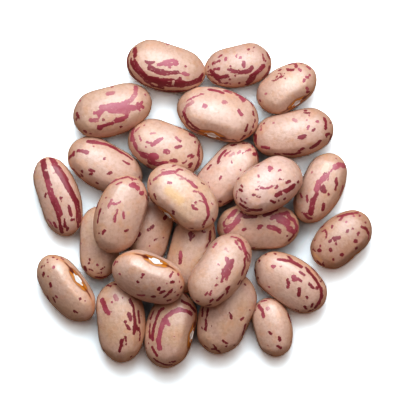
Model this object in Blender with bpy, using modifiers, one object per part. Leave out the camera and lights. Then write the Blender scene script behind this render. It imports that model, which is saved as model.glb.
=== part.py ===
"""A handful of dried borlotti beans lying in a low heap, as one fused solid with a flat foot, and one bean
that lies clear of it. Metres, +Z up, origin under the middle of the heap, on the surface that it lies on."""

import math

import bmesh
import bpy
from mathutils import Euler, Matrix, Vector
from mathutils.bvhtree import BVHTree

MM = 0.001

# How a bean is built
THICK_SHARE = 0.80  # thickness over width
ROUNDNESS = 0.90  # 1 is an ellipsoid, and less leaves the ends and sides blunter
BEND_DEG = 26.0  # a straight bean's two ends turned towards its eye
EYE_DENT = 0.045  # depth of the hollow at the eye, over the bean's width
EYE_DENT_REACH = 0.34  # half the length of that hollow, over half the bean's length
FACET_CUTS = 4  # cuts across each side of the cube that a bean starts from
FACET_GROWTH = 1.02  # flat facets lie inside the round bean, so the faceted one is this much larger

# How the beans lie
FOOT_SINK = 0.15 * MM  # what is cut off the underside, so that each bean has a small flat spot
FIRST_TILT_STEP = math.radians(4)
LAST_TILT_STEP = math.radians(0.9)
MOST_ROLL_CHANGE = math.radians(6)
MOST_PITCH = math.radians(16)
CONTACT_OVERLAP = 0.12 * MM  # how far an upper bean settles into those below it, which fuses them

# The slab that cuts the foot flat
GROUND_SIZE = 0.1
GROUND_DEPTH = 0.01

# The hidden core is a low dome under the upper beans
CORE_CENTRE = (-2.0 * MM, -5.0 * MM)
CORE_RADII = (14.0 * MM, 10.5 * MM)
CORE_HEIGHT = 3.6 * MM
CORE_SEGMENTS = 24
CORE_RINGS = 10

# Each bean: place of its middle in mm, length and width in mm, yaw in degrees (its eye faces yaw + 90),
# roll in degrees (more brings the eye upwards) and taper (above 0, the end along yaw is the thicker one).
FLOOR_BEANS = {
    "top_left": (-7.0, 25.8, 15.3, 9.5, -15, 6, -0.16),
    "top_middle": (6.6, 26.0, 12.7, 8.3, 9, 0, 0.12),
    "top_right": (15.8, 21.9, 12.1, 8.2, 213, 30, 0.10),
    "upper_left": (-17.1, 17.5, 15.3, 9.4, 17, 0, -0.14),
    "upper_middle": (2.9, 16.7, 15.9, 9.4, 161, 24, -0.08),
    "upper_right": (17.3, 13.35, 15.2, 9.0, 11, 4, 0.10),
    "left_shoulder": (-18.6, 6.9, 15.2, 8.9, -28, 0, -0.06),
    "inner_left": (-7.0, 10.5, 14.8, 9.2, -22, 4, 0.00),
    "inner_right": (4.2, 5.0, 14.9, 9.1, 47, 0, 0.00),
    "right_shoulder": (22.2, 2.6, 14.1, 8.4, 63, 5, 0.04),
    "far_left": (-27.4, 0.9, 15.4, 8.2, 108, -4, -0.04),
    "under_right": (10.7, -4.8, 15.4, 8.9, 184, -6, -0.06),
    "under_left": (-19.6, -7.6, 13.9, 7.8, 90, 0, -0.06),
    "under_middle": (-9.9, -5.3, 13.7, 8.2, 255, 0, 0.00),
    "under_centre": (-2.5, -8.0, 14.4, 8.7, 74, 0, 0.00),
    "lower_right": (16.8, -15.0, 15.2, 9.0, 146, 0, -0.08),
    "small_one": (13.2, -23.6, 11.4, 7.6, 104, 0, 0.04),
    "bottom_right": (4.4, -21.1, 16.0, 9.8, 248, 2, 0.06),
    "bottom_middle": (-5.9, -24.1, 14.6, 9.8, 257, 12, 0.04),
    "bottom_left": (-15.5, -22.5, 15.6, 9.4, 94, 0, 0.04),
    "outer_left": (-25.65, -16.5, 14.5, 8.4, -53, 38, -0.02),
}
UPPER_BEANS = {
    "upper_layer_left": (-15.9, -2.1, 15.2, 9.4, 251, 0, 0.00),
    "upper_layer_middle": (-3.8, 1.1, 15.2, 9.9, 140, 22, 0.02),
    "upper_layer_low": (-10.3, -14.0, 14.4, 9.5, -22, 30, 0.00),
    "upper_layer_right": (12.3, 3.3, 14.1, 9.5, 30, 0, 0.04),
    "upper_layer_centre": (3.0, -12.9, 15.2, 9.1, 55, 4, 0.02),
}
BEAN_APART = {"bean_apart": (26.3, -6.9, 13.1, 8.9, 221, 14, 0.02)}

SKIN_COLOUR = (0.66, 0.43, 0.32, 1.0)


def clear_scene():
    for old in list(bpy.data.objects):
        bpy.data.objects.remove(old)


def skin_material():
    material = bpy.data.materials.new("bean_skin")
    material.use_nodes = True
    shader = material.node_tree.nodes["Principled BSDF"]
    shader.inputs["Base Color"].default_value = SKIN_COLOUR
    shader.inputs["Roughness"].default_value = 0.42
    shader.inputs["Metallic"].default_value = 0.0
    return material


def bean_mesh(name, length, width, taper):
    """A bean with its length along X, its eye at +Y and its two flat faces at +Z and -Z, as a finished mesh."""
    half = Vector((length, width, width * THICK_SHARE)) * (FACET_GROWTH / 2)
    shape = bmesh.new()
    bmesh.ops.create_cube(shape, size=2.0)
    bmesh.ops.subdivide_edges(shape, edges=shape.edges[:], cuts=FACET_CUTS, use_grid_fill=True)
    for vert in shape.verts:
        vert.co = vert.co.lerp(vert.co.normalized(), ROUNDNESS)
        if vert.co.y > 0:
            along = (vert.co.x / EYE_DENT_REACH) ** 2 + (vert.co.z / (1.6 * EYE_DENT_REACH)) ** 2
            vert.co.y -= 2 * EYE_DENT * math.exp(-along)
        vert.co = Vector(a * b for a, b in zip(vert.co, half))
    mesh = bpy.data.meshes.new(name)
    shape.to_mesh(mesh)
    shape.free()
    cage = bpy.data.objects.new(name, mesh)
    bpy.context.scene.collection.objects.link(cage)
    add_deform(cage, "TAPER", "X", taper)
    add_deform(cage, "BEND", "Z", math.radians(BEND_DEG))
    graph = bpy.context.evaluated_depsgraph_get()
    finished = bpy.data.meshes.new_from_object(cage.evaluated_get(graph))
    bpy.data.objects.remove(cage)
    return finished


def add_deform(cage, method, axis, amount):
    modifier = cage.modifiers.new(method.lower(), "SIMPLE_DEFORM")
    modifier.deform_method = method
    modifier.deform_axis = axis
    if method == "BEND":
        modifier.angle = amount
    else:
        modifier.factor = amount


def place_bean(name, spec, collection, material):
    """The bean at its place and turn, at height 0."""
    x, y, length, width, yaw, roll, taper = spec
    bean = bpy.data.objects.new(name, bean_mesh(name, length * MM, width * MM, taper))
    bean.data.materials.clear()
    bean.data.materials.append(material)
    bean.rotation_euler = (math.radians(roll), 0.0, math.radians(yaw))
    bean.location = (x * MM, y * MM, 0.0)
    collection.objects.link(bean)
    return bean


def turned_points(bean, turn):
    """The bean's points in the row frame, at its place and at height 0, with this turn."""
    matrix = Matrix.Translation((bean.location.x, bean.location.y, 0.0)) @ turn.to_matrix().to_4x4()
    return [matrix @ vert.co for vert in bean.data.vertices]


def faces_of(bean):
    return [tuple(face.vertices) for face in bean.data.polygons]


def tree_of(points, faces):
    return BVHTree.FromPolygons(points, faces)


def pile_of(beans):
    """Every point and one search tree of the beans that have settled."""
    points, faces = [], []
    for bean in beans:
        first = len(points)
        matrix = bean.matrix_basis
        points += [matrix @ vert.co for vert in bean.data.vertices]
        faces += [tuple(first + corner for corner in face) for face in faces_of(bean)]
    return points, tree_of(points, faces)


def resting_lift(points, faces, pile_points, pile_tree):
    """How far these points have to rise to lie clear of the pile and the floor."""
    sky = 1.0
    lift = -min(point.z for point in points)
    for point in points:
        hit = pile_tree.ray_cast(Vector((point.x, point.y, sky)), Vector((0, 0, -1)))[0]
        if hit:
            lift = max(lift, hit.z - point.z)
    own_tree = tree_of(points, faces)
    for point in pile_points:
        hit = own_tree.ray_cast(Vector((point.x, point.y, -sky)), Vector((0, 0, 1)))[0]
        if hit:
            lift = max(lift, point.z - hit.z)
    return lift


def lay_on_floor(bean):
    lowest = min(point.z for point in turned_points(bean, bean.rotation_euler))
    bean.location.z = -lowest - FOOT_SINK


def settle(bean, pile):
    """Drops an upper bean on the pile, pitching and rolling it towards its lowest rest."""
    pile_points, pile_tree = pile_of(pile)
    faces = faces_of(bean)
    start = bean.rotation_euler.copy()

    def lift_at(roll, pitch):
        turn = Euler((start.x + roll, pitch, start.z))
        return resting_lift(turned_points(bean, turn), faces, pile_points, pile_tree)

    roll, pitch, step = 0.0, 0.0, FIRST_TILT_STEP
    lowest = lift_at(roll, pitch)
    while step > LAST_TILT_STEP:
        tries = [(roll + step, pitch), (roll - step, pitch), (roll, pitch + step), (roll, pitch - step)]
        tries = [turn for turn in tries if abs(turn[0]) <= MOST_ROLL_CHANGE and abs(turn[1]) <= MOST_PITCH]
        tries = [(lift_at(*turn), turn) for turn in tries]
        best = min(tries)
        if best[0] < lowest:
            lowest, (roll, pitch) = best
        else:
            step /= 2
    bean.rotation_euler = (start.x + roll, pitch, start.z)
    bean.location.z = lowest - CONTACT_OVERLAP


def core_dome(collection, material):
    """The hidden core: half a flattened sphere on its flat side."""
    dome = bmesh.new()
    bmesh.ops.create_uvsphere(dome, u_segments=CORE_SEGMENTS, v_segments=CORE_RINGS, radius=1.0)
    geometry = dome.verts[:] + dome.edges[:] + dome.faces[:]
    cut = bmesh.ops.bisect_plane(dome, geom=geometry, plane_co=(0, 0, 0), plane_no=(0, 0, 1), clear_inner=True)
    rim = [piece for piece in cut["geom_cut"] if isinstance(piece, bmesh.types.BMEdge)]
    bmesh.ops.holes_fill(dome, edges=rim)
    bmesh.ops.transform(dome, matrix=Matrix.Diagonal((*CORE_RADII, CORE_HEIGHT, 1.0)), verts=dome.verts)
    bmesh.ops.recalc_face_normals(dome, faces=dome.faces)
    mesh = bpy.data.meshes.new("bean_heap")
    dome.to_mesh(mesh)
    dome.free()
    mesh.materials.append(material)
    heap = bpy.data.objects.new("bean_heap", mesh)
    heap.location = (*CORE_CENTRE, -FOOT_SINK)
    collection.objects.link(heap)
    return heap


def apply_modifiers(target):
    """The target keeps its evaluated mesh, with its place in its points."""
    graph = bpy.context.evaluated_depsgraph_get()
    finished = bpy.data.meshes.new_from_object(target.evaluated_get(graph))
    finished.transform(target.matrix_world)
    target.modifiers.clear()
    target.data = finished
    target.matrix_world = Matrix.Identity(4)
    bpy.context.view_layer.update()


def fuse(target, collection):
    union = target.modifiers.new("fuse", "BOOLEAN")
    union.operation = "UNION"
    union.operand_type = "COLLECTION"
    union.collection = collection
    union.solver = "EXACT"
    apply_modifiers(target)
    for joined in list(collection.objects):
        bpy.data.objects.remove(joined)


def keep_outer_shell(target):
    """Keeps the shell with the most volume, which fills sealed hollows and drops loose scraps."""
    shape = bmesh.new()
    shape.from_mesh(target.data)
    shells, seen = [], set()
    for start in shape.verts:
        if start in seen:
            continue
        seen.add(start)
        shell = [start]
        for vert in shell:
            for edge in vert.link_edges:
                other = edge.other_vert(vert)
                if other not in seen:
                    seen.add(other)
                    shell.append(other)
        shells.append(shell)
    outer = max(shells, key=shell_volume)
    scraps = [vert for shell in shells if shell is not outer for vert in shell]
    bmesh.ops.delete(shape, geom=scraps, context="VERTS")
    shape.to_mesh(target.data)
    shape.free()


def shell_volume(shell):
    """Above 0 for an outer skin, and below 0 for the skin of a hollow."""
    volume = 0.0
    for face in {face for vert in shell for face in vert.link_faces}:
        corners = [corner.co for corner in face.verts]
        for one, two in zip(corners[1:], corners[2:]):
            volume += corners[0].dot(one.cross(two)) / 6
    return volume


def ground_cutter(collection):
    """A slab whose top is the surface that the beans lie on."""
    bpy.ops.mesh.primitive_cube_add(size=1.0, location=(0.0, 0.0, -GROUND_DEPTH / 2))
    slab = bpy.context.object
    slab.name = "ground_cutter"
    slab.scale = (GROUND_SIZE, GROUND_SIZE, GROUND_DEPTH)
    slab.hide_render = True
    slab.display_type = "WIRE"
    for linked in list(slab.users_collection):
        linked.objects.unlink(slab)
    collection.objects.link(slab)
    return slab


def cut_flat_foot(target, slab):
    """Cuts off what lies below the surface."""
    cut = target.modifiers.new("foot", "BOOLEAN")
    cut.operation = "DIFFERENCE"
    cut.object = slab
    cut.solver = "EXACT"
    apply_modifiers(target)


def centre_in_plan(targets):
    """Moves the whole so that its box is centred on the origin, seen from above."""
    points = [vert.co for target in targets for vert in target.data.vertices]
    middle = [(min(point[axis] for point in points) + max(point[axis] for point in points)) / 2 for axis in (0, 1)]
    for target in targets:
        target.data.transform(Matrix.Translation((-middle[0], -middle[1], 0.0)))


def main():
    clear_scene()
    parts = bpy.data.collections.new("heap_of_beans")
    loose = bpy.data.collections.new("beans_to_fuse")
    cutters = bpy.data.collections.new("cutters")
    for collection in (parts, loose, cutters):
        bpy.context.scene.collection.children.link(collection)
    material = skin_material()

    settled = []
    for name, spec in FLOOR_BEANS.items():
        bean = place_bean(name, spec, loose, material)
        lay_on_floor(bean)
        settled.append(bean)
    apart = []
    for name, spec in BEAN_APART.items():
        bean = place_bean(name, spec, parts, material)
        lay_on_floor(bean)
        apart.append(bean)
    for name, spec in UPPER_BEANS.items():
        bean = place_bean(name, spec, loose, material)
        settle(bean, settled)
        settled.append(bean)

    heap = core_dome(parts, material)
    bpy.context.view_layer.update()
    fuse(heap, loose)
    bpy.data.collections.remove(loose)
    for bean in apart:
        apply_modifiers(bean)
    keep_outer_shell(heap)
    slab = ground_cutter(cutters)
    bpy.context.view_layer.update()
    for target in [heap, *apart]:
        cut_flat_foot(target, slab)
    centre_in_plan([heap, *apart])


main()
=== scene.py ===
import math
import random

import bpy
import numpy as np
from mathutils import Euler, Matrix, Vector
from mathutils.bvhtree import BVHTree


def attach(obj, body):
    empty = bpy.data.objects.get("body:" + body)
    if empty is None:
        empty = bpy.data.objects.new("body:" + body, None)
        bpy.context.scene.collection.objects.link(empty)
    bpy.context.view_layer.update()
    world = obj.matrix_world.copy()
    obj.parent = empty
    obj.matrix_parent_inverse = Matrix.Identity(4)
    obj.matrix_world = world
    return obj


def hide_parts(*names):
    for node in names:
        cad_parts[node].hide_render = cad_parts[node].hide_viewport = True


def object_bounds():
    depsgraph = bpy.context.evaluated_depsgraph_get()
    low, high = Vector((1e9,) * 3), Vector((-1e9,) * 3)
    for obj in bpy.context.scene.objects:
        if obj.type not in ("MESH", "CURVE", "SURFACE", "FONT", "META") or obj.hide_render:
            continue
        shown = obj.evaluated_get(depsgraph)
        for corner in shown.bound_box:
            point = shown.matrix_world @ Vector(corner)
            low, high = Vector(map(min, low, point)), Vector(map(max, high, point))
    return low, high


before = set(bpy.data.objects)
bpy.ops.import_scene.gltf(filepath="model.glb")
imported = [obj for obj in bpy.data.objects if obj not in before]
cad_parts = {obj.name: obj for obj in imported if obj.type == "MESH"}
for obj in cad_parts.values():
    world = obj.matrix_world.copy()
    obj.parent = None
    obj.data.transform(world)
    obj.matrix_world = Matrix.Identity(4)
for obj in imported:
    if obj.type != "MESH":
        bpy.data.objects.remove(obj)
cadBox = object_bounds()
mm = 0.001
farOff = 99  # mm, well above or below the heap


# helpers for objects

def pickOnly(*objects):
    bpy.ops.object.select_all(action="DESELECT")
    for one in objects:
        one.select_set(True)
    bpy.context.view_layer.objects.active = objects[0]


def applyPlace(target):  # location, turn and scale go into the mesh
    pickOnly(target)
    bpy.ops.object.transform_apply(location=True, rotation=True, scale=True)


def applyModifiers(target):
    pickOnly(target)
    for modifier in list(target.modifiers):
        bpy.ops.object.modifier_apply(modifier=modifier.name)


def copyOf(source, name):
    copied = source.copy()
    copied.data = source.data.copy()
    copied.name = name
    bpy.context.scene.collection.objects.link(copied)
    return copied


def readPoints(mesh, what="co"):
    values = np.empty(len(mesh.vertices) * 3)
    if what == "normal":
        mesh.vertex_normals.foreach_get("vector", values)
    elif what == "co":
        mesh.vertices.foreach_get("co", values)
    else:  # a vector attribute
        mesh.attributes[what].data.foreach_get("vector", values)
    return values.reshape(-1, 3)


def writeValues(mesh, name, values):
    kind = "FLOAT_VECTOR" if values.ndim == 2 else "FLOAT"
    attribute = mesh.attributes.new(name, kind, "POINT")
    attribute.data.foreach_set("vector" if kind == "FLOAT_VECTOR" else "value", values.ravel())


# helpers for materials

class Wire:  # one value, colour or vector on its way through a material's nodes
    def __init__(self, tree, socket=None):
        self.tree = tree
        self.socket = socket

    def node(self, kind, settings=None, inputs=None, output=0):
        made = self.tree.nodes.new(kind)
        for name, value in (settings or {}).items():
            setattr(made, name, value)
        for name, value in (inputs or {}).items():
            if isinstance(value, Wire):
                self.tree.links.new(value.socket, made.inputs[name])
            else:
                made.inputs[name].default_value = value
        return Wire(self.tree, made.outputs[output])

    def maths(self, operation, one, two=0.0):
        return self.node("ShaderNodeMath", {"operation": operation}, {0: one, 1: two})

    def __add__(self, other):
        return self.maths("ADD", self, other)

    def __radd__(self, other):
        return self.maths("ADD", other, self)

    def __sub__(self, other):
        return self.maths("SUBTRACT", self, other)

    def __rsub__(self, other):
        return self.maths("SUBTRACT", other, self)

    def __mul__(self, other):
        return self.maths("MULTIPLY", self, other)

    def __rmul__(self, other):
        return self.maths("MULTIPLY", other, self)

    def __truediv__(self, other):
        return self.maths("DIVIDE", self, other)

    def __pow__(self, other):
        return self.maths("POWER", self, other)

    def attribute(self, name, output="Fac"):
        return self.node("ShaderNodeAttribute", {"attribute_name": name}, output=output)

    def vector(self, operation, one, two):
        return self.node("ShaderNodeVectorMath", {"operation": operation}, {0: one, 1: two})

    def part(self, axis):
        return self.node("ShaderNodeSeparateXYZ", inputs={0: self}, output=axis)

    def step(self, low, high):  # 0 below low, 1 above high, smooth between
        return self.node("ShaderNodeMapRange", {"interpolation_type": "SMOOTHSTEP"},
                         {"Value": self, "From Min": low, "From Max": high})

    def noise(self, scale, detail=2.0, roughness=0.5):
        return self.node("ShaderNodeTexNoise",
                         inputs={"Vector": self, "Scale": scale, "Detail": detail, "Roughness": roughness})

    def blend(self, one, two):  # one where this is 0, two where it is 1
        return self.node("ShaderNodeMix", {"data_type": "RGBA"}, {0: self, 6: one, 7: two}, 2)


# one bean, modelled at a usual size and copied for all

seedValues = {
    "length": 15.2,  # mm
    "width": 9.2,
    "thickness": 7.36,
    "cuts": 8,  # cuts across each side of the cube that it starts from
    "roundness": 0.875,
    "eyeDent": 0.41,  # mm that the middle of the eye side is pressed in
    "eyeReach": 3.2,  # mm, and how far round it
    "eyeLength": 4.2,
    "eyeWidth": 1.6,
    "lipSlope": 0.12,  # widths and heights of the eye's rings, from its rim inwards
    "lipHeight": 0.09,
    "lipTop": 0.10,
    "pitSlope": 0.08,
    "pitDepth": 0.16,
    "scarRim": 0.14,
    "scarSwell": 0.05,
    "bend": 26,  # degrees that the ends turn towards the eye
    "smoothing": 2,  # levels of subdivision
}


def facePick(target, wanted):
    bpy.ops.mesh.select_all(action="DESELECT")
    bpy.ops.object.mode_set(mode="OBJECT")
    for polygon in target.data.polygons:
        polygon.select = wanted(polygon)
    bpy.ops.object.mode_set(mode="EDIT")


def modelSeed(values):
    bpy.ops.object.select_all(action="DESELECT")
    bpy.ops.mesh.primitive_cube_add(size=2.0)
    seed = bpy.context.object
    seed.name = "seedMaster"
    bpy.ops.object.mode_set(mode="EDIT")
    bpy.ops.mesh.select_mode(type="FACE")
    bpy.ops.mesh.subdivide(number_cuts=values["cuts"])
    bpy.ops.transform.tosphere(value=values["roundness"])
    bpy.ops.object.mode_set(mode="OBJECT")
    reach = max(vert.co.x for vert in seed.data.vertices)
    seed.scale = [values[side] / 2 / reach for side in ("length", "width", "thickness")]
    applyPlace(seed)

    bpy.ops.object.mode_set(mode="EDIT")
    side = max(polygon.center.y for polygon in seed.data.polygons) - 0.01
    facePick(seed, lambda polygon: polygon.center.y > side)
    bpy.ops.transform.translate(value=(0, -values["eyeDent"], 0), use_proportional_edit=True,
                                proportional_edit_falloff="SMOOTH", proportional_size=values["eyeReach"])
    picked = [polygon for polygon in seed.data.polygons if polygon.select]
    corners = [seed.data.vertices[index].co for polygon in picked for index in polygon.vertices]
    faceLength = max(corner.x for corner in corners) * 2
    faceWidth = max(corner.z for corner in corners) * 2
    bpy.ops.transform.resize(value=(values["eyeLength"] / faceLength, 1, values["eyeWidth"] / faceWidth))
    rings = (("lipSlope", values["lipHeight"]), ("lipTop", 0), ("pitSlope", -values["pitDepth"]),
             ("scarRim", values["scarSwell"]))
    for ring, rise in rings:
        bpy.ops.mesh.inset(thickness=values[ring])
        if rise:
            bpy.ops.transform.translate(value=(0, rise, 0))
    bpy.ops.object.mode_set(mode="OBJECT")
    writeValues(seed.data, "seedPlace", readPoints(seed.data))
    seed.data.shade_smooth()
    return seed


# Where each bean lies: x and y of its middle in mm, length, width, turn and roll in degrees,
# taper, and tint (-1 pink, 1 tan)
floorBeans = {
    "topLeft": (-7.0, 25.8, 15.3, 9.5, -15, -16, -0.16, 0.1),
    "topMiddle": (6.65, 26.05, 12.8, 8.35, 11, -16, 0.14, -0.4),
    "topRight": (15.95, 21.85, 12.3, 8.6, 213, 30, 0.10, 0.2),
    "upperLeft": (-17.15, 17.65, 15.4, 9.8, 17, -16, -0.14, 0.3),
    "upperMiddle": (2.8, 16.9, 15.8, 10.3, 165, 28, -0.03, -0.1),
    "upperRight": (17.15, 13.15, 15.5, 9.3, 11, -14, 0.10, -0.2),
    "leftShoulder": (-18.6, 7.0, 15.2, 9.35, -28, -16, -0.07, 0.1),
    "innerLeft": (-7.1, 10.55, 14.9, 9.9, -22, -18, 0.04, 0.3),
    "innerRight": (4.4, 5.3, 15.2, 9.1, 47, -18, 0.02, -0.4),
    "rightShoulder": (22.3, 2.75, 14.3, 8.4, 63, -10, 0.08, 0.2),
    "farLeft": (-27.45, 1.3, 15.7, 8.25, 108, -14, -0.04, -0.3),
    "underRight": (10.5, -4.45, 15.7, 9.5, 181, -14, 0.06, 0.4),
    "underLeft": (-19.75, -7.6, 13.9, 8.0, 91, -16, -0.06, 0.6),
    "underMiddle": (-9.9, -5.3, 13.7, 8.2, 255, -16, 0.00, 0.8),
    "underCentre": (-2.3, -9.3, 16.2, 9.0, 75, -16, 0.00, 0.8),
    "lowerRight": (16.65, -14.95, 15.2, 9.4, 146, -16, -0.06, -0.1),
    "smallOne": (13.2, -23.6, 11.4, 7.6, 104, -16, 0.04, 0.0),
    "bottomRight": (4.4, -21.0, 16.0, 10.15, 248, -8, -0.02, 0.5),
    "bottomMiddle": (-6.2, -24.0, 14.9, 9.8, 256, 22, -0.02, 0.7),
    "bottomLeft": (-15.65, -22.5, 15.6, 9.65, 94, -16, 0.08, 0.6),
    "outerLeft": (-26.0, -16.25, 14.7, 8.6, -53, 42, -0.04, 0.3),
}
upperBeans = {
    "upperLayerLeft": (-15.6, -2.1, 15.2, 9.6, 251, -14, 0.00, 0.0),
    "upperLayerMiddle": (-3.8, 1.1, 15.2, 9.9, 140, 22, 0.02, 0.8),
    "upperLayerLow": (-10.3, -14.0, 14.4, 9.6, -22, 40, 0.00, -0.2),
    "upperLayerRight": (12.2, 3.3, 14.1, 9.7, 30, -18, 0.04, -0.7),
    "upperLayerCentre": (3.25, -12.75, 15.6, 9.45, 55, -2, 0.02, 0.1),
}
apartBeans = {"beanApart": (26.3, -6.9, 13.1, 8.9, 221, 8, 0.02, 0.3)}
ripeness = {  # how far a bean is browner than the palest, 0 to 1
    "topLeft": 0.40, "topMiddle": 0.52, "topRight": 0.26, "upperLeft": 0.34, "upperMiddle": 0.12,
    "upperRight": 0.50, "leftShoulder": 0.42, "innerLeft": 0.28, "innerRight": 0.12, "rightShoulder": 0.30,
    "farLeft": 0.08, "underRight": 0.18, "underMiddle": 0.16, "underCentre": 0.30, "bottomRight": 0.14,
    "bottomMiddle": 0.34, "bottomLeft": 0.20, "upperLayerLeft": 0.20, "upperLayerCentre": 0.42,
    "beanApart": 0.90,
}

restValues = {
    "sink": 0.15,  # mm that a bean's round underside sinks to a flat spot
    "overlap": 0.12,  # mm that an upper bean settles into those below
    "near": 9,  # mm round its middle within which it can touch others
    "rollChange": 6,  # degrees, the most that it may roll and pitch to its rest
    "pitch": 13,
    "firstStep": 4,
    "lastStep": 0.9,
}


def layBean(master, name, plan, level):
    x, y, length, width, turn, roll, taper, tint = plan
    bean = copyOf(master, name)
    bean.scale = (length / seedValues["length"], width / seedValues["width"], width / seedValues["width"])
    applyPlace(bean)
    if level:
        smooth = bean.modifiers.new("smooth", "SUBSURF")
        smooth.levels = smooth.render_levels = level
    narrow = bean.modifiers.new("narrow", "SIMPLE_DEFORM")
    narrow.deform_method = "TAPER"
    narrow.deform_axis = "X"
    narrow.factor = taper
    curve = bean.modifiers.new("curve", "SIMPLE_DEFORM")
    curve.deform_method = "BEND"
    curve.deform_axis = "Z"
    curve.angle = math.radians(seedValues["bend"])
    applyModifiers(bean)
    return bean


def restingLift(points, faces, pilePoints, pileTree):  # mm to rise to lie clear of the pile and the floor
    lift = -min(point.z for point in points)
    for point in points:
        hit = pileTree.ray_cast(Vector((point.x, point.y, farOff)), Vector((0, 0, -1)))[0]
        if hit:
            lift = max(lift, hit.z - point.z)
    ownTree = BVHTree.FromPolygons(points, faces)
    for point in pilePoints:
        hit = ownTree.ray_cast(Vector((point.x, point.y, -farOff)), Vector((0, 0, 1)))[0]
        if hit:
            lift = max(lift, point.z - hit.z)
    return lift


def seedShape(bean):
    points = [vert.co.copy() for vert in bean.data.vertices]
    return points, [tuple(face.vertices) for face in bean.data.polygons]


def settle(cage, plan, pile):  # drops an upper bean on the pile, tilting it towards its lowest rest
    x, y, length, width, turn, roll = plan[:6]
    shape, faces = seedShape(cage)
    pilePoints, pileFaces = [], []
    for points, otherFaces in pile:
        first = len(pilePoints)
        pilePoints += points
        pileFaces += [tuple(first + corner for corner in face) for face in otherFaces]
    pileTree = BVHTree.FromPolygons(pilePoints, pileFaces)
    near = [point for point in pilePoints if math.hypot(point.x - x, point.y - y) < restValues["near"]]

    def turned(rollMore, pitch):
        angles = [math.radians(angle) for angle in (roll + rollMore, pitch, turn)]
        matrix = Matrix.Translation((x, y, 0)) @ Euler(angles).to_matrix().to_4x4()
        return matrix, [matrix @ point for point in shape]

    def lift(tilt):
        return restingLift(turned(*tilt)[1], faces, near, pileTree)

    tilt, step = (0, 0), restValues["firstStep"]
    lowest = lift(tilt)
    while step > restValues["lastStep"]:
        tries = [(tilt[0] + more * step, tilt[1] + ahead * step)
                 for more, ahead in ((1, 0), (-1, 0), (0, 1), (0, -1))]
        tries = [(more, ahead) for more, ahead in tries
                 if abs(more) <= restValues["rollChange"] and abs(ahead) <= restValues["pitch"]]
        best = min((lift(one), one) for one in tries)
        if best[0] < lowest:
            lowest, tilt = best
        else:
            step /= 2
    matrix, points = turned(*tilt)
    up = Matrix.Translation((0, 0, lowest - restValues["overlap"]))
    return up @ matrix, ([up @ point for point in points], faces)


def layOnFloor(cage, plan):
    x, y, length, width, turn, roll = plan[:6]
    shape, faces = seedShape(cage)
    matrix = Euler((math.radians(roll), 0, math.radians(turn))).to_matrix().to_4x4()
    lowest = min((matrix @ point).z for point in shape)
    matrix = Matrix.Translation((x, y, -lowest - restValues["sink"])) @ matrix
    return matrix, ([matrix @ point for point in shape], faces)


# The marks on the skins are drawn on enlarged sheets of a plan of the heap
planSide = 400  # units across
planUnit = 0.19  # mm
planMiddle = (203, 203)
sheets = {  # left and top on the plan, and the enlargement
    "nw": (0, 0, 7.84),
    "ne": (200, 0, 7.84),
    "sw": (0, 200, 7.84),
    "se": (200, 200, 7.84),
    "mid": (120, 150, 13.07),
    "low": (150, 220, 13.07),
    "left": (60, 180, 15.68),
    "right": (180, 130, 15.68),
    "whole": (0, 0, 10),
}

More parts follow.
